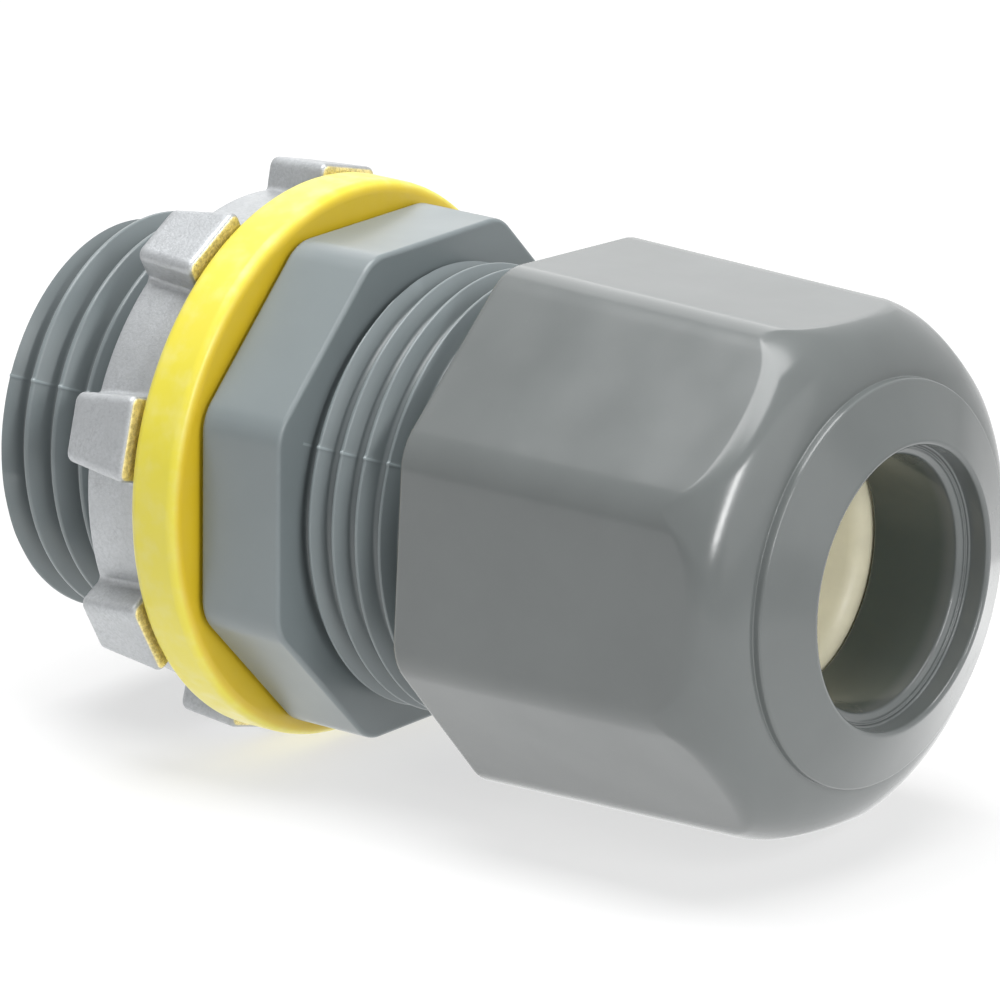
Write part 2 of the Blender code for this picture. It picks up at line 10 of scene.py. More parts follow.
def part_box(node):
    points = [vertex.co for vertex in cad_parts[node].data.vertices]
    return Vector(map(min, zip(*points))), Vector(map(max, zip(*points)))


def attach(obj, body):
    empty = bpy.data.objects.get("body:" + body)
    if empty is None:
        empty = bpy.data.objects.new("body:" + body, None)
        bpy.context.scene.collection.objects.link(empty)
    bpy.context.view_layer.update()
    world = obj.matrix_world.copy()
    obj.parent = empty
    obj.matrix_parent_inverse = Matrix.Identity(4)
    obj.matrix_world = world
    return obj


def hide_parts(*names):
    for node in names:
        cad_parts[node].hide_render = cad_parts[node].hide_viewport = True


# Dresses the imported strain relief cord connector, and sets its floor, lights and camera.
# Each CAD piece is replaced by a finer skin of the same form: fillets on every edge, threads with rounded
# crests and roots, the mould's parting line, and a cast grain on the locknut.
# The connector's axis is X, its cord end is at +X and +Z is up. Lengths are metres. Angles go from +Y
# towards +Z. Heights on the nut are measured from its back.


class Thread(NamedTuple):
    """A right-hand thread with straight flanks and slightly rounded corners."""

    pitch: float
    crest_width: float
    root_width: float
    crest_rounding: float
    root_rounding: float

    @property
    def depth(self):
        """Radial distance from crest to root."""
        return (self.pitch - self.crest_width - self.root_width) / 2 / math.tan(FLANK_ANGLE)


FLANK_ANGLE = math.radians(30)
OCTAGON_SIDES = 8
SECTOR = 2 * math.pi / OCTAGON_SIDES
SMALL_EDGE = 0.0001

# Gland body
NIPPLE_LENGTH = 0.0160
FLANGE_THICKNESS = 0.0050
BARREL_LENGTH = 0.0150
BORE_RADIUS = 0.0072
SEAT_RADIUS = 0.0079
POCKET_RADIUS = 0.0089
SEAT_TAPER_LENGTH = 0.0025
TIGHTEN_TRAVEL = 0.0041
FACE_GAP = 0.0003
BOX_THREAD = Thread(0.0254 / 14, 0.0002, 0.00028, 0.00016, 0.0002)
BOX_CREST_RADIUS = 0.01055
BOX_FIRST_CREST = 0.00125
NIPPLE_LEAD_LENGTH = 0.0010
NIPPLE_LEAD_DEPTH = 0.00123
CORD_THREAD = Thread(0.00147, 0.00014, 0.00035, 0.00011, 0.00025)
CORD_CREST_RADIUS = 0.0114987
CORD_FIRST_CREST = 0.00133
BARREL_LEAD = 0.0008
BOX_NECK_LENGTH = 0.0006
CORD_NECK_LENGTH = 0.0002
NECK_UNDERCUT = 0.0001
NECK_FILLET = 0.0002
NIPPLE_BORE_EDGE = 0.00012
TIP_LEAN = (0.0004, 0.0002)
BARREL_MOUTH_CHAMFER = 0.0004
SEAT_EDGE = 0.0003
FLANGE_APOTHEM = 0.0127237
FLANGE_CORNER_RADIUS = 0.0023
FLANGE_EDGE_RADIUS = 0.00024

# Compression nut
NUT_APOTHEM = 0.0133087
NUT_DRAFT = math.radians(1.3)
NUT_CORNER_RADIUS = 0.0030
NUT_BACK_EDGE = 0.0003
NUT_TURN = math.radians(-2.9)
NUT_MOUTH_FLARE = 0.0005
TAP_CLEARANCE = 0.0003
RIDGE_TRIM = 0.00006
RELIEF_DEPTH = 0.0001
RELIEF_LENGTH = 0.0014
POCKET_TAPER_LENGTH = 0.0015
NUT_POCKET_LENGTH = 0.0015
DOME_START = 0.01538
DOME_RADIUS = 0.0043
DOME_EDGE_RADIUS = 0.0019
ENTRY_RADIUS = 0.00717
ENTRY_DEPTH = 0.00125
FACE_RADIUS = 0.01029
FACE_STEP = 0.00043
FACE_FOOT_EDGE = 0.00006
FACE_EDGE = 0.00015
ENTRY_EDGE = 0.0002
THROAT_RADIUS = 0.00647
THROAT_EDGE = 0.00025
THROAT_ROUNDING = 0.00022
THROAT_LENGTH = 0.0051
STEP_RADII = (0.00697, 0.00690, 0.00676)
STEP_DROP = 0.0001
STEP_EDGE = 0.00004
SHOULDER_EDGE = 0.0002
POCKET_EDGE = 0.0003

# Sealing grommet
GROMMET_RADIUS = 0.0086
GROMMET_TIP_RADIUS = 0.0076
GROMMET_BORE_RADIUS = 0.0042
GROMMET_LIP_WIDTH = 0.0025
GROMMET_FUNNEL_DEPTH = 0.0045
GROMMET_EDGE = 0.0004
GROMMET_SWELL = 0.0002
GROMMET_LIP_ROUNDING = 0.0014
GROMMET_TAPER_ROUNDING = 0.0006
GROMMET_TIP_EDGE = 0.0002
GROMMET_HOLE_EDGE = 0.0003
GROMMET_FUNNEL_ROUNDING = 0.0010

# Sealing ring and locknut
SEAL_RADIUS = 0.01445
SEAL_FRONT_EDGE = 0.0006
SEAL_BACK_EDGE = 0.0005
SEAL_BORE_EDGE = 0.0002
RING_BORE_RADIUS = 0.01085
LOCKNUT_RADIUS = 0.0131
LOCKNUT_WALL = 0.00225
LOCKNUT_DRAFT = math.radians(3.5)
LOCKNUT_EDGE = 0.0003
LOCKNUT_TURN = math.radians(30.5)
LUG_COUNT = 8
LUG_RADIUS = 0.0147
LUG_WIDTH = 0.0045
LUG_SIDE_DRAFT = math.radians(7)
LUG_PROUD = 0.0001
LUG_EDGE = 0.0005
LUG_EDGE_LOSS = 0.9
LUG_ROOT_FILLET = 0.0003
LUG_ROOT_SPREAD = math.radians(3.0)

# The halves of the body's mould meet along these angles and leave a fine ridge, lower in the threads' roots
PARTING_ANGLES = (math.radians(158.1), math.radians(338.1))
PARTING_HEIGHT = 0.00009
PARTING_LEAST_SHARE = 0.12
PARTING_WIDTH = math.radians(0.5)
SEAM_WIDTH = 0.00009

# How finely the skins are divided
FLAT_COLUMNS = 14
CORNER_COLUMNS = 9
NUT_FLAT_COLUMNS = 20
NUT_CORNER_COLUMNS = 14
GAP_COLUMNS = 9
ROUND_COLUMNS = 288
CLOSEST_COLUMNS = math.radians(0.12)
PARTING_COLUMNS = 9
NUT_SIDE_ROWS = 16
LOCKNUT_SIDE_SHARES = (0.15, 0.85)
LOCKNUT_SIDE_ROWS = 6
EDGE_STEPS = 5
SEAL_EDGE_STEPS = 7
QUARTER_TURN = [math.pi / 2 * i / EDGE_STEPS for i in range(EDGE_STEPS + 1)]
THREAD_STEPS = 3
DOME_STEPS = 40
CENTRE_PASSES = 3
WELD_DISTANCE = 0.000002
SHARP_ANGLE = math.radians(38)

# Surfaces stay flat for HOLD beside a rounding. A stub gives the rounding at the end of a line its direction
HOLD = 0.00005
STUB = 0.0006
DOME_STUB = 0.0004

# Floor and camera
FLOOR_Z = -0.0148
FLOOR_SIZE = 6.0
FLOOR_COLOUR = (0.35, 0.35, 0.35, 1.0)
FLOOR_ROUGHNESS = 0.9
FLOOR_GLOW = 0.65
TABLE_LIGHT_GAP = 0.0001
CAMERA_PLACE = (0.268294, -0.350462, 0.134796)
CAMERA_ANGLES = (math.radians(72.977), math.radians(-0.6646), math.radians(37.6388))
CAMERA_LENS = 328.95
CAMERA_SENSOR = 36.0

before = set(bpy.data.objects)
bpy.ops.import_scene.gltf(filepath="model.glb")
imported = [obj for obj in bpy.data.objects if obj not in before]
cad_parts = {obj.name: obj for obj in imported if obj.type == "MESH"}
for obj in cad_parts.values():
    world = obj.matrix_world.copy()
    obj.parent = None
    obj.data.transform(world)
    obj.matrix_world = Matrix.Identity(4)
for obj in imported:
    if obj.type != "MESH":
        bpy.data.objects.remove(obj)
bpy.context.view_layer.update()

BODY_LOW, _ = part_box("gland_body")
NUT_LOW, NUT_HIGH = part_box("compression_nut")
SEAL_LOW, SEAL_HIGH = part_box("sealing_ring")
LOCKNUT_LOW, LOCKNUT_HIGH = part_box("locknut")
GROMMET_LOW, GROMMET_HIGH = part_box("sealing_grommet")

NIPPLE_END = BODY_LOW.x
FLANGE_BACK = NIPPLE_END + NIPPLE_LENGTH
FLANGE_FRONT = FLANGE_BACK + FLANGE_THICKNESS
BARREL_END = FLANGE_FRONT + BARREL_LENGTH
BOX_CREST_X = NIPPLE_END + BOX_FIRST_CREST
CORD_CREST_X = FLANGE_FRONT + CORD_FIRST_CREST
NUT_BACK = NUT_LOW.x
NUT_LENGTH = NUT_HIGH.x - NUT_LOW.x
SEAT = GROMMET_LOW.x - TIGHTEN_TRAVEL - FACE_GAP

DOME_START_APOTHEM = NUT_APOTHEM - DOME_START * math.tan(NUT_DRAFT)
DOME_LARGEST_RADIUS = NUT_CORNER_RADIUS + (DOME_START_APOTHEM - NUT_CORNER_RADIUS) / math.cos(SECTOR / 2)
DOME_CENTRE_RADIUS = DOME_LARGEST_RADIUS - DOME_RADIUS
DOME_ANGLE = math.acos((FACE_RADIUS - DOME_CENTRE_RADIUS) / DOME_RADIUS)
FACE_START = DOME_START + DOME_RADIUS * math.sin(DOME_ANGLE)


# Shapes

def unit(vector):
    """The same direction, one long."""
    return vector / np.linalg.norm(vector)


def rounded(points, radii, steps=EDGE_STEPS, hold=HOLD):
    """A line of (x, radius) points whose inner corners become arcs, held flat just before and after each."""
    points = [np.array(point, float) for point in points]
    out = [points[0]]
    for before, corner, after, radius in zip(points, points[1:], points[2:], radii):
        if not radius:
            out.append(corner)
            continue
        back, forth = unit(before - corner), unit(after - corner)
        half = math.acos(np.clip(back @ forth, -1, 1)) / 2
        reach = radius / math.tan(half)
        centre = corner + unit(back + forth) * radius / math.sin(half)
        start, end = corner + back * reach - centre, corner + forth * reach - centre
        sweep = math.pi - 2 * half
        out.append(corner + back * (reach + hold))
        for i in range(steps + 1):
            share = i / steps
            blend = start * math.sin((1 - share) * sweep) + end * math.sin(share * sweep)
            out.append(centre + blend / math.sin(sweep))
        out.append(corner + forth * (reach + hold))
    out.append(points[-1])
    return out


def octagon_columns(turn, half_flat, flat_columns, corner_columns, extra=()):
    """Angles once around: many across each corner, fewer across each flat, and some extra ones."""
    corner = SECTOR - 2 * half_flat
    flat = np.linspace(-half_flat, half_flat, flat_columns, endpoint=False)
    bend = np.linspace(half_flat, half_flat + corner, corner_columns, endpoint=False)
    angles = np.concatenate([side * SECTOR + np.concatenate([flat, bend]) for side in range(OCTAGON_SIDES)])
    angles = np.concatenate([angles + turn, np.array(extra)]) % (2 * math.pi)
    angles = np.sort(angles)
    apart = np.append(np.diff(angles), 1.0) > CLOSEST_COLUMNS
    angles = angles[apart]
    return np.append(angles, angles[0] + 2 * math.pi)


def round_columns():
    """Evenly spaced angles once around, with the last on the first."""
    return np.linspace(0, 2 * math.pi, ROUND_COLUMNS + 1)


def parting_columns():
    """Angles close together across the parting line."""
    spread = np.linspace(-2, 2, PARTING_COLUMNS) * PARTING_WIDTH
    return np.concatenate([angle + spread for angle in PARTING_ANGLES])


def octagon(angles, apothem, corner_radius):
    """Distance from the axis to an octagon with rounded corners, at angles from the middle of a flat."""
    from_flat = np.abs((angles + SECTOR / 2) % SECTOR - SECTOR / 2)
    corner_centre = (apothem - corner_radius) / math.cos(SECTOR / 2)
    tangent = np.arctan2(corner_centre * math.sin(SECTOR / 2), apothem)
    off_corner = SECTOR / 2 - from_flat
    sideways = corner_centre * np.sin(off_corner)
    in_corner = corner_centre * np.cos(off_corner) + np.sqrt(np.maximum(corner_radius**2 - sideways**2, 0))
    return np.where(from_flat <= tangent, apothem / np.cos(from_flat), in_corner)


def half_flat_angle(apothem, corner_radius):
    """Angle from the middle of a flat to where its rounded corner starts."""
    return math.atan2((apothem - corner_radius) * math.tan(SECTOR / 2), apothem)


def thread_section(thread):
    """Places along one pitch and depths below the crest there, from one crest to the next."""
    half_crest = thread.crest_width / 2
    root_start = half_crest + thread.depth * math.tan(FLANK_ANGLE)
    corners = [
        (0.0, 0.0),
        (half_crest, 0.0),
        (root_start, thread.depth),
        (thread.pitch - root_start, thread.depth),
        (thread.pitch - half_crest, 0.0),
        (thread.pitch, 0.0),
    ]
    radii = (thread.crest_rounding, thread.root_rounding, thread.root_rounding, thread.crest_rounding)
    section = rounded(corners, radii, steps=THREAD_STEPS, hold=0.0)
    along, depth = np.array(section).T
    keep = np.append(True, np.diff(along) > WELD_DISTANCE * 4)
    return along[keep], depth[keep]


def threaded_rows(thread, crest_radius, crest_x, low, high, angles):
    """Rows of a thread between two places. A crest is at crest_x where the angle is -90 degrees."""
    along, depth = thread_section(thread)
    shift = crest_x + thread.pitch * (angles + math.pi / 2) / (2 * math.pi)
    first = math.floor((low - shift.max()) / thread.pitch) - 1
    last = math.ceil((high - shift.min()) / thread.pitch) + 1
    starts = np.arange(first, last + 1)[:, None] * thread.pitch + along[None, :-1]
    x = np.clip(starts.reshape(-1, 1) + shift[None, :], low, high)
    phase = (x - shift[None, :]) % thread.pitch
    radius = crest_radius - np.interp(phase, along, depth)
    return x, radius


def even_rows(points, angles):
    """Rows that are the same all round, one for each (x, radius) point."""
    points = np.array(points, float)
    ones = np.ones((1, len(angles)))
    return points[:, :1] * ones, points[:, 1:] * ones


def skin_through(name, points):
    """A closed skin through rows of points.

    The last row joins the first, and the last column lies on the first.
    """
    rows, columns = points.shape[:2]
    corner = np.arange(rows)[:, None] * columns + np.arange(columns - 1)[None, :]
    above = np.roll(corner, -1, axis=0)
    quads = np.stack([corner, corner + 1, above + 1, above], axis=-1).reshape(-1, 4)
    mesh = bpy.data.meshes.new(name)
    mesh.from_pydata(points.reshape(-1, 3).tolist(), [], quads.tolist())
    bm = bmesh.new()
    bm.from_mesh(mesh)
    bmesh.ops.remove_doubles(bm, verts=bm.verts, dist=WELD_DISTANCE)
    bmesh.ops.dissolve_degenerate(bm, edges=bm.edges, dist=WELD_DISTANCE)
    bmesh.ops.recalc_face_normals(bm, faces=bm.faces)
    bm.to_mesh(mesh)
    bm.free()
    return mesh


def around(x, radius, angles):
    """Points at distances from the axis, at the columns' angles."""
    return np.stack([x, radius * np.cos(angles), radius * np.sin(angles)], axis=-1)


def skin(name, blocks, angles):
    """A closed skin around the axis through blocks of rows (x, radius)."""
    x = np.concatenate([block[0] for block in blocks])
    radius = np.concatenate([block[1] for block in blocks])
    return skin_through(name, around(x, radius, angles))


def show(name, mesh, material, body, node):
    """Puts a finished mesh in the scene in the place of a CAD node."""
    mesh.polygons.foreach_set("use_smooth", [True] * len(mesh.polygons))
    mesh.set_sharp_from_angle(angle=SHARP_ANGLE)
    mesh.materials.append(material)
    obj = bpy.data.objects.new(name, mesh)
    bpy.context.scene.collection.objects.link(obj)
    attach(obj, body)
    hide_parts(node)


def with_parting_line(rows, angles, crest_radius, thread):
    """Raises a fine ridge along the parting line, highest on the crests."""
    x, radius = rows
    from_lines = [(angles - angle + math.pi) % (2 * math.pi) - math.pi for angle in PARTING_ANGLES]
    ridge = sum(np.exp(-((away / PARTING_WIDTH) ** 2)) for away in from_lines)
    height = np.clip(1 - (crest_radius - radius) / thread.depth, PARTING_LEAST_SHARE, 1.0)
    return x, radius + PARTING_HEIGHT * height * ridge[None, :]


def gland_body_mesh():
    """The gland body: threaded nipple, octagonal flange, threaded barrel and the passage through them."""
    half_flat = half_flat_angle(FLANGE_APOTHEM, FLANGE_CORNER_RADIUS)
    angles = octagon_columns(0.0, half_flat, FLAT_COLUMNS, CORNER_COLUMNS, parting_columns())

    tip = BOX_CREST_RADIUS - NIPPLE_LEAD_DEPTH
    neck = BOX_CREST_RADIUS - BOX_THREAD.depth - NECK_UNDERCUT
    low, high = NIPPLE_END + HOLD, FLANGE_BACK - NECK_FILLET
    x, radius = threaded_rows(BOX_THREAD, BOX_CREST_RADIUS, BOX_CREST_X, low, high, angles)
    neck_start = FLANGE_BACK - BOX_NECK_LENGTH
    slope = math.tan(FLANK_ANGLE)
    lead = tip + (x - NIPPLE_END) * NIPPLE_LEAD_DEPTH / NIPPLE_LEAD_LENGTH
    neck_limit = neck + np.maximum(neck_start - x, 0) / slope
    radius = np.minimum(np.minimum(radius, lead), neck_limit)
    nipple = with_parting_line((x, radius), angles, BOX_CREST_RADIUS, BOX_THREAD)

    tip_corners = [
        (NIPPLE_END + STUB, BORE_RADIUS),
        (NIPPLE_END, BORE_RADIUS),
        (NIPPLE_END, tip),
        (NIPPLE_END + TIP_LEAN[0], tip + TIP_LEAN[1]),
    ]
    nipple_tip = even_rows(rounded(tip_corners, (NIPPLE_BORE_EDGE, SMALL_EDGE))[:-1], angles)

    barrel_neck = CORD_CREST_RADIUS - CORD_THREAD.depth - NECK_UNDERCUT
    low, high = FLANGE_FRONT + NECK_FILLET, BARREL_END - HOLD
    x, radius = threaded_rows(CORD_THREAD, CORD_CREST_RADIUS, CORD_CREST_X, low, high, angles)
    lead = CORD_CREST_RADIUS - BARREL_LEAD + (BARREL_END - x)
    neck_limit = barrel_neck + np.maximum(x - FLANGE_FRONT - CORD_NECK_LENGTH, 0) / slope
    radius = np.minimum(np.minimum(radius, lead), neck_limit)
    barrel = with_parting_line((x, radius), angles, CORD_CREST_RADIUS, CORD_THREAD)

    def octagon_rows(shape):
        """Rows of the flange, each (x, how far in from its outline)."""
        xs, radii = [], []
        for place, inset in shape:
            xs.append(np.full(len(angles), place))
            radii.append(octagon(angles, FLANGE_APOTHEM - inset, FLANGE_CORNER_RADIUS - inset))
        return np.array(xs), np.array(radii)

    edge = FLANGE_EDGE_RADIUS

    def quarter(centre, outward):
        """A quarter round at the flange's rim, from one of its faces to its side."""
        return [(centre + outward * edge * math.cos(a), edge * (1 - math.sin(a))) for a in QUARTER_TURN]

    flange = octagon_rows(
        [
            (FLANGE_BACK, edge + HOLD),
            *quarter(FLANGE_BACK + edge, -1),
            (FLANGE_BACK + edge + HOLD, 0.0),
            (FLANGE_FRONT - edge - HOLD, 0.0),
            *quarter(FLANGE_FRONT - edge, 1)[::-1],
            (FLANGE_FRONT, edge + HOLD),
        ]
    )

    def fillet(x_face, radius, outward):
        """The small hollow where a neck meets the flange's face."""
        return [
            (x_face + outward * NECK_FILLET * (1 - math.sin(a)), radius + NECK_FILLET * (1 - math.cos(a)))
            for a in QUARTER_TURN
        ]

    passage = rounded(
        [
            (BARREL_END - STUB, CORD_CREST_RADIUS - BARREL_LEAD + STUB),
            (BARREL_END, CORD_CREST_RADIUS - BARREL_LEAD),
            (BARREL_END, POCKET_RADIUS + BARREL_MOUTH_CHAMFER),
            (BARREL_END - BARREL_MOUTH_CHAMFER, POCKET_RADIUS),
            (SEAT + SEAT_TAPER_LENGTH, POCKET_RADIUS),
            (SEAT, SEAT_RADIUS),
            (SEAT, BORE_RADIUS),
            (NIPPLE_END + 2 * STUB, BORE_RADIUS),
        ],
        (SMALL_EDGE, SMALL_EDGE, SMALL_EDGE, SEAT_EDGE, SMALL_EDGE, SMALL_EDGE),
    )[1:]
    blocks = [
        nipple_tip,
        nipple,
        even_rows(fillet(FLANGE_BACK, neck, -1), angles),
        flange,
        even_rows(fillet(FLANGE_FRONT, barrel_neck, 1)[::-1], angles),
        barrel,
        even_rows(passage, angles),
    ]
    return skin("gland_body_skin", blocks, angles)


def front_centres(angles):
    """Centres (radius, height) of the arcs that round the nut's front edge, at angles from a flat's middle.

    Each arc touches the drafted side and, from within, the dome.
    """
    reach = DOME_RADIUS - DOME_EDGE_RADIUS
    height = np.full(len(angles), DOME_START)
    for _ in range(CENTRE_PASSES):
        side = octagon(angles, NUT_APOTHEM - height * math.tan(NUT_DRAFT), NUT_CORNER_RADIUS)
        radius = np.minimum(side, DOME_LARGEST_RADIUS) - DOME_EDGE_RADIUS
        height = DOME_START + np.sqrt(np.maximum(reach**2 - (radius - DOME_CENTRE_RADIUS) ** 2, 0.0))
    return radius, height


def compression_nut_mesh():
    """The compression nut: an octagonal skirt that rounds into a dome, its raised face and its bore."""
    half_flat = half_flat_angle(NUT_APOTHEM, NUT_CORNER_RADIUS)
    angles = octagon_columns(NUT_TURN, half_flat, NUT_FLAT_COLUMNS, NUT_CORNER_COLUMNS)
    from_flat = angles - NUT_TURN

    def side_row(height, inset=0.0):
        """One row of the drafted side."""
        apothem = NUT_APOTHEM - height * math.tan(NUT_DRAFT) - inset
        return NUT_BACK + height, octagon(from_flat, apothem, NUT_CORNER_RADIUS - inset)

    centre_radius, centre_height = front_centres(from_flat)
    edge_ends = np.arctan2(centre_radius - DOME_CENTRE_RADIUS, centre_height - DOME_START)

    def front_row(facing):
        """One row of the rounded front, where its surface faces an angle off the axis."""
        on_dome = facing < edge_ends
        radius = np.where(on_dome, DOME_CENTRE_RADIUS, centre_radius)
        height = np.where(on_dome, DOME_START, centre_height)
        bend = np.where(on_dome, DOME_RADIUS, DOME_EDGE_RADIUS)
        return NUT_BACK + height + bend * math.cos(facing), radius + bend * math.sin(facing)

    edge = NUT_BACK_EDGE
    side_start = edge + HOLD
    shares = np.linspace(0, 1, NUT_SIDE_ROWS)[:-1]
    rows = [side_row(0.0, edge + HOLD)]
    rows += [side_row(edge * (1 - math.cos(a)), edge * (1 - math.sin(a))) for a in QUARTER_TURN]
    rows += [side_row(side_start + (centre_height - side_start) * share) for share in shares]
    rows += [front_row(facing) for facing in np.linspace(math.pi / 2, math.pi / 2 - DOME_ANGLE, DOME_STEPS)]
    ones = np.ones(len(angles))
    shell = np.array([x * ones for x, _ in rows]), np.array([radius for _, radius in rows])

    entry_end = NUT_LENGTH - ENTRY_DEPTH
    throat_front = entry_end - THROAT_EDGE
    shoulder = throat_front - THROAT_LENGTH
    pocket_start = shoulder - NUT_POCKET_LENGTH
    relief_end = pocket_start - POCKET_TAPER_LENGTH
    relief_start = relief_end - RELIEF_LENGTH
    tap_radius = CORD_CREST_RADIUS + TAP_CLEARANCE
    relief_radius = tap_radius + RELIEF_DEPTH
    ridge = tap_radius - CORD_THREAD.depth + RIDGE_TRIM
    flare = relief_radius + NUT_MOUTH_FLARE
    thread_end = relief_start - (relief_radius - ridge)

    face = rounded(
        [
            (FACE_START - DOME_STUB / math.tan(DOME_ANGLE), FACE_RADIUS + DOME_STUB),
            (FACE_START, FACE_RADIUS),
            (FACE_START + FACE_STEP, FACE_RADIUS),
            (NUT_LENGTH, ENTRY_RADIUS),
            (entry_end, ENTRY_RADIUS),
            (entry_end, STEP_RADII[0]),
            (entry_end - STEP_DROP, STEP_RADII[1]),
            (entry_end - STEP_DROP, STEP_RADII[2]),
            (throat_front, THROAT_RADIUS),
            (shoulder, THROAT_RADIUS),
            (shoulder, POCKET_RADIUS),
            (pocket_start, POCKET_RADIUS),
            (relief_end, relief_radius),
            (relief_start, relief_radius),
            (thread_end, ridge),
        ],
        (
            FACE_FOOT_EDGE,
            FACE_EDGE,
            ENTRY_EDGE,
            SMALL_EDGE,
            STEP_EDGE,
            STEP_EDGE,
            SMALL_EDGE,
            THROAT_ROUNDING,
            SHOULDER_EDGE,
            SHOULDER_EDGE,
            POCKET_EDGE,
            POCKET_EDGE,
            SMALL_EDGE,
        ),
    )[3:-1]
    face = [(NUT_BACK + height, radius) for height, radius in face]

    low, high = NUT_BACK + HOLD, NUT_BACK + thread_end + HOLD
    x, radius = threaded_rows(CORD_THREAD, tap_radius, CORD_CREST_X, low, high, angles)
    bore = np.maximum(ridge, flare - (x - NUT_BACK))
    bore = np.maximum(bore, ridge + (x - NUT_BACK - thread_end))
    tapped = x[::-1], np.maximum(radius, bore)[::-1]
    mouth = even_rows([(NUT_BACK, flare + HOLD)], angles)
    blocks = [shell, even_rows(face, angles), tapped, mouth]
    return skin("compression_nut_skin", blocks, angles)


def turned_mesh(name, points, radii, steps=EDGE_STEPS):
    """A ring turned about the axis, from the (x, radius) corners of its section and their roundings."""
    start = (np.array(points[0]) + np.array(points[-1])) / 2
    line = rounded([start, *points, start], radii, steps)
    return skin(name, [even_rows(line[:-1], round_columns())], round_columns())


def grommet_mesh():
    """The grommet's sleeve, with a funnel whose lip swells up to the nut's shoulder and a tapered tip."""
    back, front = GROMMET_LOW.x, GROMMET_HIGH.x + GROMMET_SWELL
    corners = [
        (front, GROMMET_RADIUS - GROMMET_LIP_WIDTH),
        (front, GROMMET_RADIUS),
        (back + SEAT_TAPER_LENGTH, GROMMET_RADIUS),
        (back, GROMMET_TIP_RADIUS),
        (back, GROMMET_BORE_RADIUS),
        (front - GROMMET_FUNNEL_DEPTH, GROMMET_BORE_RADIUS),
    ]
    radii = (
        GROMMET_LIP_ROUNDING,
        GROMMET_EDGE,
        GROMMET_TAPER_ROUNDING,
        GROMMET_TIP_EDGE,
        GROMMET_HOLE_EDGE,
        GROMMET_FUNNEL_ROUNDING,
    )
    return turned_mesh("grommet_skin", corners, radii)


def sealing_ring_mesh():
    """The sealing ring, rounder towards the flange."""
    back, front = SEAL_LOW.x, SEAL_HIGH.x
    corners = [(front, RING_BORE_RADIUS), (front, SEAL_RADIUS), (back, SEAL_RADIUS), (back, RING_BORE_RADIUS)]
    radii = (SEAL_BORE_EDGE, SEAL_FRONT_EDGE, SEAL_BACK_EDGE, SEAL_BORE_EDGE)
    return turned_mesh("sealing_ring_skin", corners, radii, steps=SEAL_EDGE_STEPS)


def locknut_outline(share, inset):
    """The locknut's outline in (y, z) once around, at a share of the way from its back to its front."""
    taken = (LOCKNUT_HIGH.x - LOCKNUT_LOW.x) * (1 - share)
    ring = LOCKNUT_RADIUS - taken * math.tan(LOCKNUT_DRAFT) - inset
    reach = LUG_RADIUS - taken * math.tan(LOCKNUT_DRAFT) - inset
    half_width = LUG_WIDTH / 2 - taken * math.tan(LUG_SIDE_DRAFT) - inset
    root = math.asin(half_width / ring)
    gap_angles = np.linspace(SECTOR / 2, root + LUG_ROOT_SPREAD, GAP_COLUMNS)
    gap = [(ring * math.cos(a), ring * math.sin(a)) for a in gap_angles]
    half = [(reach, half_width), (ring * math.cos(root), half_width), *gap[::-1]]
    points = [(u, -v) for u, v in half[::-1]] + [(reach, 0.0)] + half
    fillets = [0.0] * (GAP_COLUMNS - 1) + [LUG_ROOT_FILLET + inset, LUG_EDGE - inset * LUG_EDGE_LOSS]
    one_lug = np.array(rounded(points, (*fillets, 0.0, *fillets[::-1])))[:-1]
    u, v = one_lug.T
    turns = LOCKNUT_TURN + SECTOR * np.arange(LUG_COUNT)[:, None]
    y = (u * np.cos(turns) - v * np.sin(turns)).ravel()
    z = (u * np.sin(turns) + v * np.cos(turns)).ravel()
    return np.append(y, y[0]), np.append(z, z[0])


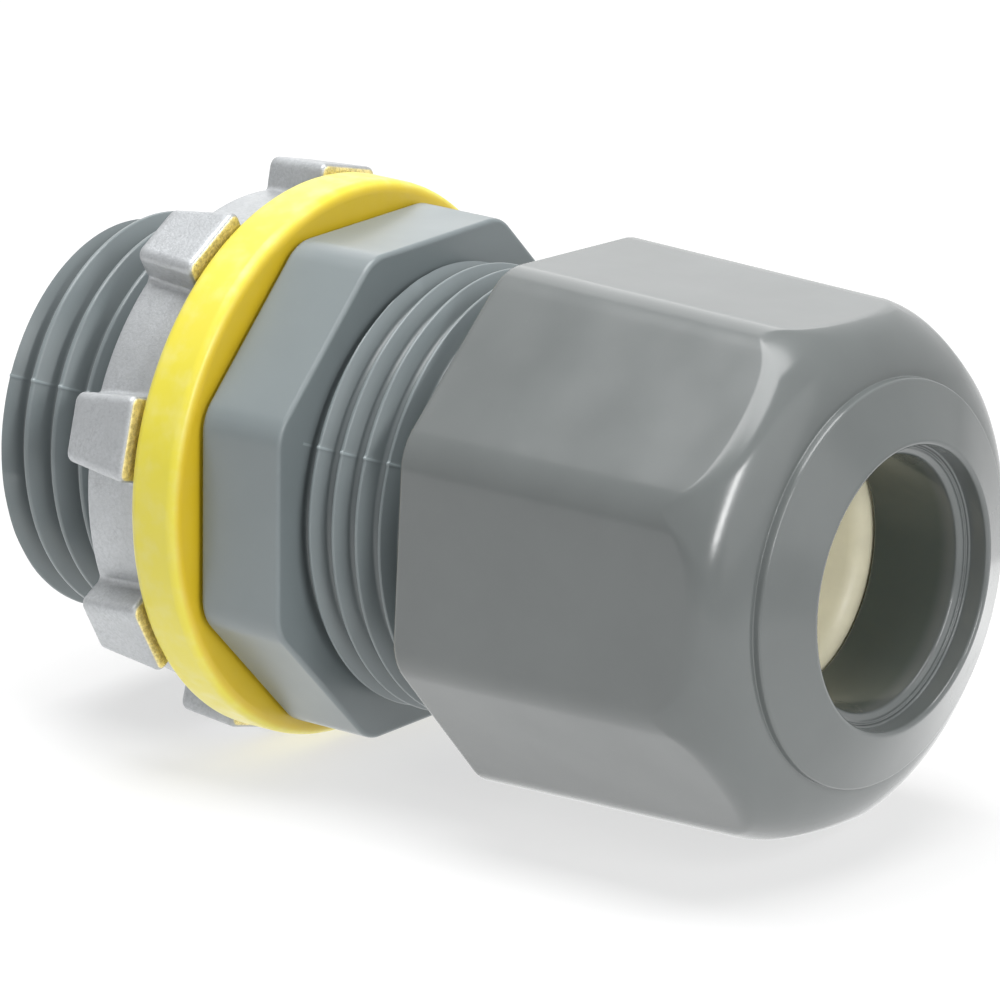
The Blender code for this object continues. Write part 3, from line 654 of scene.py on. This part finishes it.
def locknut_mesh():
    """The locknut: a drafted, tapped ring cast with its lugs, which stand slightly proud of its faces."""
    back, front = LOCKNUT_LOW.x, LOCKNUT_HIGH.x
    thickness = front - back
    edge = LOCKNUT_EDGE

    def proud(y, z, share, inset):
        """1 where a point of the outline is out on a lug, 0 where it is on the ring."""
        ring = LOCKNUT_RADIUS - thickness * (1 - share) * math.tan(LOCKNUT_DRAFT) - inset
        return np.clip((np.hypot(y, z) - ring) / LUG_EDGE, 0.0, 1.0)

    def outline_row(share, inset, from_face, at_front):
        """One row of the outside: from_face is its distance in from the nearer face."""
        y, z = locknut_outline(share, inset)
        sunk = from_face + LUG_PROUD * (1 - proud(y, z, share, inset))
        return np.stack([front - sunk if at_front else back + sunk, y, z], axis=-1)

    arc = [(edge * (1 - math.cos(a)), edge * (1 - math.sin(a))) for a in QUARTER_TURN]
    back_rim = [outline_row(depth / thickness, inset, depth, False) for depth, inset in arc]
    front_rim = [outline_row(1 - depth / thickness, inset, depth, True) for depth, inset in arc[::-1]]
    shares = np.linspace(*LOCKNUT_SIDE_SHARES, LOCKNUT_SIDE_ROWS)
    middle = [outline_row(share, 0.0, share * thickness, False) for share in shares]

    y, z = locknut_outline(0.5, 0.0)
    angles = np.unwrap(np.arctan2(z, y))
    lug_foot = LOCKNUT_RADIUS - LOCKNUT_WALL / 2

    def face_row(radius, at_front, on_lugs):
        """One row of a flat face, which is proud on the feet of the lugs."""
        share, inset = float(at_front), edge + HOLD
        y, z = locknut_outline(share, inset)
        sunk = LUG_PROUD * (1 - proud(y, z, share, inset) * on_lugs)
        x = front - sunk if at_front else back + sunk
        return around(x, np.minimum(radius, np.hypot(y, z)), np.unwrap(np.arctan2(z, y)))

    def face_rows(at_front):
        """The rows of a face, from its rim inward."""
        return [
            outline_row(float(at_front), edge + HOLD, 0.0, at_front),
            face_row(lug_foot + HOLD, at_front, True),
            face_row(lug_foot - LUG_PROUD, at_front, False),
        ]

    low, high = back + LUG_PROUD, front - LUG_PROUD
    x, radius = threaded_rows(BOX_THREAD, RING_BORE_RADIUS, BOX_CREST_X, low + HOLD, high - HOLD, angles)
    mouths = [around(place + 0 * angles, RING_BORE_RADIUS + 0 * angles, angles) for place in (high, low)]
    rows = [
        *face_rows(False)[::-1],
        *back_rim,
        *middle,
        *front_rim,
        *face_rows(True),
        mouths[0],
        *around(x[::-1], radius[::-1], angles),
        mouths[1],
    ]
    return skin_through("locknut_skin", np.array(rows))


# Materials

class Nodes:
    """Adds shader nodes to one material and links them."""

    def __init__(self, name):
        self.material = bpy.data.materials.new(name)
        self.material.use_nodes = True
        self.tree = self.material.node_tree
        self.shader = self.tree.nodes["Principled BSDF"]
        self.place = self.add("ShaderNodeTexCoord").outputs["Object"]

    def add(self, kind, **values):
        """A new node with its properties set."""
        node = self.tree.nodes.new(kind)
        for key, value in values.items():
            setattr(node, key, value)
        return node

    def link(self, socket, value):
        """Joins an output to an input, or sets the input to a plain value."""
        if isinstance(value, bpy.types.NodeSocket):
            self.tree.links.new(value, socket)
        else:
            socket.default_value = value

    def noise(self, size, detail=2.0, roughness=0.5, distortion=0.0):
        """A noise of 0 to 1 whose features are about size across."""
        node = self.add("ShaderNodeTexNoise")
        self.link(node.inputs["Vector"], self.place)
        self.link(node.inputs["Scale"], 1 / size)
        self.link(node.inputs["Detail"], detail)
        self.link(node.inputs["Roughness"], roughness)
        self.link(node.inputs["Distortion"], distortion)
        return node.outputs["Fac"]

    def along(self):
        """The place along the connector's axis, in metres."""
        return self.split("X")

    def split(self, axis):
        """One of the three coordinates, in metres."""
        node = self.add("ShaderNodeSeparateXYZ")
        self.link(node.inputs["Vector"], self.place)
        return node.outputs[axis]

    def off_axis(self):
        """The distance from the connector's axis, in metres."""
        y, z = self.split("Y"), self.split("Z")
        squares = self.math("ADD", self.math("MULTIPLY", y, y), self.math("MULTIPLY", z, z))
        return self.math("SQRT", squares)

    def off_plane(self, angle):
        """The distance from the plane that holds the axis and leans at an angle, in metres."""
        across = self.math("MULTIPLY", self.split("Y"), math.sin(angle))
        height = self.math("MULTIPLY", self.split("Z"), math.cos(angle))
        return self.math("ABSOLUTE", self.math("SUBTRACT", across, height))

    def spread(self, value, low, high, to_low, to_high):
        """A value moved smoothly from one range to another and held within it."""
        node = self.add("ShaderNodeMapRange", interpolation_type="SMOOTHSTEP")
        inputs = {"Value": value, "From Min": low, "From Max": high, "To Min": to_low, "To Max": to_high}
        for key, number in inputs.items():
            self.link(node.inputs[key], number)
        return node.outputs["Result"]

    def math(self, operation, a, b=0.0):
        """One arithmetic step."""
        node = self.add("ShaderNodeMath", operation=operation)
        self.link(node.inputs[0], a)
        self.link(node.inputs[1], b)
        return node.outputs["Value"]

    def mix(self, share, a, b):
        """A colour between two others, through the colour sockets of a mix node."""
        node = self.add("ShaderNodeMix", data_type="RGBA")
        self.link(node.inputs["Factor"], share)
        for socket, colour in ((node.inputs[6], a), (node.inputs[7], b)):
            self.link(socket, colour if isinstance(colour, bpy.types.NodeSocket) else (*colour, 1.0))
        return node.outputs[2]

    def mottled(self, noise, colour, dark, light, low=0.3, high=0.7):
        """A colour that a noise varies from a darker to a lighter shade."""
        return self.mix(self.spread(noise, low, high, 0.0, 1.0), shade(colour, dark), shade(colour, light))

    def bump(self, height, distance, normal=None):
        """A normal tilted by a height that is distance tall where it is 1."""
        node = self.add("ShaderNodeBump")
        self.link(node.inputs["Height"], height)
        self.link(node.inputs["Distance"], distance)
        if normal is not None:
            self.link(node.inputs["Normal"], normal)
        return node.outputs["Normal"]

    def finish(self, colour, roughness, normal, metallic=0.0):
        """Joins what was made to the shader's sockets."""
        self.link(self.shader.inputs["Base Color"], colour)
        self.link(self.shader.inputs["Roughness"], roughness)
        self.link(self.shader.inputs["Normal"], normal)
        self.link(self.shader.inputs["Metallic"], metallic)
        return self.material


def shade(colour, factor):
    """A colour made lighter or darker."""
    return tuple(min(channel * factor, 1.0) for channel in colour)


# Colours, and how strongly they darken or deepen; the darker thread roots and bore and the deeper ring edge
# are painted shade
BODY_COLOUR = (0.199, 0.231, 0.239)
NUT_COLOUR = (0.138, 0.151, 0.150)
# The colour of the painted shade inside the nut's bore
NUT_PAINTED_BORE_SHADE_COLOUR = (0.062, 0.080, 0.072)
SEAL_COLOUR = (0.80, 0.70, 0.065)
SEAL_PALE_COLOUR = (0.82, 0.76, 0.30)
# The colour of the painted shade where the sealing ring meets the flange
SEAL_PAINTED_SHADE_COLOUR = (0.72, 0.50, 0.020)
GROMMET_COLOUR = (0.80, 0.755, 0.56)
ZINC_COLOUR = (0.399, 0.414, 0.427)
ZINC_GOLD_COLOUR = (0.80, 0.69, 0.33)
# How strongly painted shade darkens the body's thread roots
ROOT_PAINTED_SHADE = 0.5
THREAD_FADE = (0.0001, 0.0002)
SEAM_SHARE = 0.35
BORE_PAINTED_SHADE_STRENGTH = 0.75
BORE_PAINTED_SHADE_FADE = (0.0012, 0.0002)
SEAL_PAINTED_SHADE_WIDTH = 0.00022
GOLD_FADE = (0.00007, 0.00002)
ZINC_METALLIC = 0.45


def body_plastic():
    """Satin moulded nylon with a faint mottle, painted shade in the threads' roots, and a light parting line.
    """
    n = Nodes("body_plastic_look")
    mottle = n.noise(0.0035, detail=4.0)
    specks = n.noise(0.0003, detail=2.0)
    colour = n.mottled(mottle, BODY_COLOUR, 0.98, 1.02)
    colour = n.mix(n.spread(specks, 0.6, 0.8, 0.0, 0.08), colour, shade(BODY_COLOUR, 1.2))
    radius = n.off_axis()
    on_nipple = n.spread(radius, BOX_CREST_RADIUS - BOX_THREAD.depth, BOX_CREST_RADIUS, 1.0, 0.0)
    on_barrel = n.spread(radius, CORD_CREST_RADIUS - CORD_THREAD.depth, CORD_CREST_RADIUS, 1.0, 0.0)
    barrel = n.spread(n.along(), FLANGE_FRONT - HOLD, FLANGE_FRONT, 0.0, 1.0)
    nipple = n.math("SUBTRACT", 1.0, barrel)
    root = n.math("ADD", n.math("MULTIPLY", on_barrel, barrel), n.math("MULTIPLY", on_nipple, nipple))
    # Painted shade: the colour darkens towards the threads' roots, where shadow falls
    colour = n.mix(n.math("MULTIPLY", root, ROOT_PAINTED_SHADE), colour, shade(BODY_COLOUR, 0.3))
    thread_low, thread_high = CORD_CREST_RADIUS + THREAD_FADE[0], CORD_CREST_RADIUS + THREAD_FADE[1]
    on_thread = n.spread(radius, thread_low, thread_high, 1.0, 0.0)
    on_crest = n.math("MULTIPLY", on_thread, n.math("SUBTRACT", 1.0, root))
    seam = n.spread(n.off_plane(PARTING_ANGLES[0]), SEAM_WIDTH / 2, SEAM_WIDTH, SEAM_SHARE, 0.0)
    colour = n.mix(n.math("MULTIPLY", seam, on_crest), colour, shade(BODY_COLOUR, 2.4))
    roughness = n.spread(n.noise(0.0030, detail=2.0), 0.2, 0.8, 0.29, 0.35)
    normal = n.bump(n.noise(0.00022, detail=2.0), 0.0000015)
    normal = n.bump(n.noise(0.0060, detail=0.0), 0.00005, normal)
    return n.finish(colour, roughness, normal)


def nut_plastic():
    """Polished moulded nylon with faint clouds and specks, with painted shade down its bore."""
    n = Nodes("nut_plastic_look")
    clouds = n.noise(0.006, detail=3.0)
    specks = n.noise(0.00035, detail=2.0)
    colour = n.mottled(clouds, NUT_COLOUR, 0.96, 1.04)
    colour = n.mix(n.spread(specks, 0.62, 0.8, 0.0, 0.08), colour, shade(NUT_COLOUR, 1.3))
    shoulder = NUT_HIGH.x - ENTRY_DEPTH - THROAT_EDGE
    down_bore = n.spread(n.along(), shoulder - BORE_PAINTED_SHADE_FADE[0], shoulder - BORE_PAINTED_SHADE_FADE[1], 1.0, 0.0)
    painted_bore_shade = n.math("MULTIPLY", down_bore, n.spread(n.off_axis(), THROAT_RADIUS, POCKET_RADIUS, 1.0, 0.0))
    # Painted shade: the colour darkens inside the bore behind the throat, where little light reaches
    colour = n.mix(n.math("MULTIPLY", painted_bore_shade, BORE_PAINTED_SHADE_STRENGTH), colour, NUT_PAINTED_BORE_SHADE_COLOUR)
    roughness = n.spread(n.noise(0.0030, detail=2.0), 0.2, 0.8, 0.16, 0.20)
    scuffs = n.noise(0.0016, detail=4.0, roughness=0.6)
    roughness = n.math("ADD", roughness, n.spread(scuffs, 0.55, 0.80, 0.0, 0.06))
    normal = n.bump(n.noise(0.0003, detail=2.0), 0.000001)
    normal = n.bump(n.noise(0.006, detail=1.0), 0.00006, normal)
    return n.finish(colour, roughness, normal)


def seal_rubber():
    """Smooth yellow rubber with a fine bloom, and painted shade, a deeper colour, where it meets the flange.
    """
    n = Nodes("seal_rubber_look")
    bloom = n.noise(0.0012, detail=3.0)
    colour = n.mix(n.spread(bloom, 0.4, 0.8, 0.0, 0.4), SEAL_COLOUR, SEAL_PALE_COLOUR)
    # Painted shade: the colour deepens towards the face that meets the flange, where shadow falls
    painted_flange_shade = n.spread(n.along(), SEAL_HIGH.x - SEAL_PAINTED_SHADE_WIDTH, SEAL_HIGH.x, 0.0, 0.9)
    colour = n.mix(painted_flange_shade, colour, SEAL_PAINTED_SHADE_COLOUR)
    roughness = n.spread(n.noise(0.0008, detail=3.0), 0.3, 0.7, 0.30, 0.40)
    normal = n.bump(n.noise(0.0004, detail=3.0), 0.000005)
    normal = n.bump(n.noise(0.003, detail=1.0), 0.00007, normal)
    return n.finish(colour, roughness, normal)


def grommet_rubber():
    """Smooth cream thermoplastic rubber with a faint haze."""
    n = Nodes("grommet_rubber_look")
    haze = n.noise(0.002, detail=3.0)
    colour = n.mottled(haze, GROMMET_COLOUR, 0.95, 1.05)
    roughness = n.spread(n.noise(0.0009, detail=2.0), 0.3, 0.7, 0.34, 0.46)
    normal = n.bump(n.noise(0.0007, detail=2.0), 0.00001)
    return n.finish(colour, roughness, normal)


def cast_zinc():
    """Die-cast zinc with a fine, granular, faintly wrinkled skin, gold where the lugs face the flange."""
    n = Nodes("cast_zinc_look")
    grain = n.noise(0.00016, detail=3.0, roughness=0.65)
    stains = n.noise(0.0024, detail=3.0)
    colour = n.mottled(grain, ZINC_COLOUR, 0.90, 1.10)
    colour = n.mix(n.spread(stains, 0.35, 0.65, 0.0, 0.6), colour, shade(ZINC_COLOUR, 0.90))
    wrinkle = n.math("ABSOLUTE", n.math("SUBTRACT", n.noise(0.0008, detail=3.0, distortion=0.6), 0.5))
    colour = n.mix(n.spread(wrinkle, 0.0, 0.025, 0.22, 0.0), colour, shade(ZINC_COLOUR, 0.55))
    gold = n.spread(n.along(), LOCKNUT_HIGH.x - GOLD_FADE[0], LOCKNUT_HIGH.x - GOLD_FADE[1], 0.0, 1.0)
    gritty = n.noise(0.0002, detail=3.0, roughness=0.7)
    golden = n.mottled(gritty, ZINC_GOLD_COLOUR, 0.75, 1.18, low=0.35, high=0.65)
    colour = n.mix(gold, colour, golden)
    roughness = n.spread(n.noise(0.0005, detail=3.0), 0.3, 0.7, 0.36, 0.46)
    normal = n.bump(grain, 0.00002)
    normal = n.bump(n.math("MULTIPLY", gritty, gold), 0.00006, normal)
    return n.finish(colour, roughness, normal, metallic=ZINC_METALLIC)


show("gland_body_skin", gland_body_mesh(), body_plastic(), "gland_body", "gland_body")
show(
    "compression_nut_skin",
    compression_nut_mesh(),
    nut_plastic(),
    "compression_nut",
    "compression_nut",
)
show("grommet_skin", grommet_mesh(), grommet_rubber(), "grommet", "sealing_grommet")
show("sealing_ring_skin", sealing_ring_mesh(), seal_rubber(), "sealing_ring", "sealing_ring")
show("locknut_skin", locknut_mesh(), cast_zinc(), "locknut", "locknut")


# Floor, light and camera

def backdrop_nodes(tree):
    """1 for rays from the camera and for rays that metal, gloss or glass sends on, else 0."""
    light_path = tree.nodes.new("ShaderNodeLightPath")
    seen = light_path.outputs["Is Camera Ray"]
    for name in ("Is Glossy Ray", "Is Transmission Ray"):
        either = tree.nodes.new("ShaderNodeMath")
        either.operation = "MAXIMUM"
        tree.links.new(seen, either.inputs[0])
        tree.links.new(light_path.outputs[name], either.inputs[1])
        seen = either.outputs["Value"]
    return seen


def make_world(ambient):
    """A white backdrop that lights the object only as much as ambient says."""
    world = bpy.data.worlds.new("studio")
    bpy.context.scene.world = world
    world.use_nodes = True
    tree = world.node_tree
    background = tree.nodes["Background"]
    background.inputs["Color"].default_value = (1.0, 1.0, 1.0, 1.0)
    strength = tree.nodes.new("ShaderNodeMapRange")
    tree.links.new(backdrop_nodes(tree), strength.inputs["Value"])
    strength.inputs["To Min"].default_value = ambient
    strength.inputs["To Max"].default_value = 1.0
    tree.links.new(strength.outputs["Result"], background.inputs["Strength"])


def make_floor():
    """A plain pale floor that keeps the object's shadow."""
    mesh = bpy.data.meshes.new("floor")
    half = FLOOR_SIZE / 2
    corners = [(-half, -half, FLOOR_Z), (half, -half, FLOOR_Z), (half, half, FLOOR_Z), (-half, half, FLOOR_Z)]
    mesh.from_pydata(corners, [], [(0, 1, 2, 3)])
    floor = bpy.data.objects.new("floor", mesh)
    bpy.context.scene.collection.objects.link(floor)
    material = bpy.data.materials.new("floor_look")
    material.use_nodes = True
    tree = material.node_tree
    shader = tree.nodes["Principled BSDF"]
    shader.inputs["Base Color"].default_value = FLOOR_COLOUR
    shader.inputs["Roughness"].default_value = FLOOR_ROUGHNESS
    shader.inputs["Specular IOR Level"].default_value = 0.0
    shader.inputs["Emission Color"].default_value = (1.0, 1.0, 1.0, 1.0)
    lift = tree.nodes.new("ShaderNodeMath")
    lift.operation = "MULTIPLY"
    lift.inputs[1].default_value = FLOOR_GLOW
    tree.links.new(backdrop_nodes(tree), lift.inputs[0])
    tree.links.new(lift.outputs["Value"], shader.inputs["Emission Strength"])
    mesh.materials.append(material)


def make_softbox(name, place, size, radiance, up=(0.0, 0.0, 1.0)):
    """A rectangular lamp that faces the object, with a brightness of radiance and its height towards up."""
    lamp = bpy.data.lights.new(name, "AREA")
    lamp.shape = "RECTANGLE"
    lamp.size, lamp.size_y = size
    lamp.energy = radiance * math.pi * size[0] * size[1]
    obj = bpy.data.objects.new(name, lamp)
    bpy.context.scene.collection.objects.link(obj)
    back = Vector(place).normalized()
    side = Vector(up).cross(back).normalized()
    turn = Matrix((side, back.cross(side), back)).transposed()
    obj.matrix_world = Matrix.Translation(place) @ turn.to_4x4()
    return obj


def make_table_light(place, size, radiance):
    """A lamp that lies on the floor and shines up, as a light table does; the camera doesn't see it."""
    lamp = make_softbox("table_light", (0.0, 0.0, -1.0), size, radiance, up=(0, 1, 0))
    lamp.location = (*place, FLOOR_Z + TABLE_LIGHT_GAP)
    lamp.visible_camera = False


def make_camera():
    """The camera at the photograph's place."""
    data = bpy.data.cameras.new("camera")
    data.lens = CAMERA_LENS
    data.sensor_width = CAMERA_SENSOR
    data.sensor_fit = "HORIZONTAL"
    camera = bpy.data.objects.new("camera", data)
    bpy.context.scene.collection.objects.link(camera)
    camera.location = CAMERA_PLACE
    camera.rotation_euler = Euler(CAMERA_ANGLES, "XYZ")
    bpy.context.scene.camera = camera


make_world(ambient=0.07)
make_floor()
make_softbox("top_softbox", place=(-0.03, -0.02, 0.60), size=(0.60, 0.42), radiance=6.6, up=(0, 1, 0))
make_softbox(
    "strip_softbox", place=(0.395, -0.215, 0.20), size=(0.04, 0.26), radiance=28.0, up=(-0.02, 0.29, 0.36)
)
make_softbox("back_softbox", place=(-0.50, 0.72, 0.20), size=(0.50, 0.35), radiance=0.35)
make_softbox(
    "shoulder_softbox", place=(-0.51, 0.52, 0.53), size=(0.30, 0.60), radiance=1.4, up=(0, 0.73, -0.68)
)
make_softbox("front_softbox", place=(0.52, 0.02, 0.16), size=(0.50, 0.45), radiance=0.85)
make_table_light(place=(0.0, -0.03), size=(0.16, 0.16), radiance=0.60)
make_camera()

bpy.context.scene.view_settings.view_transform = "Standard"
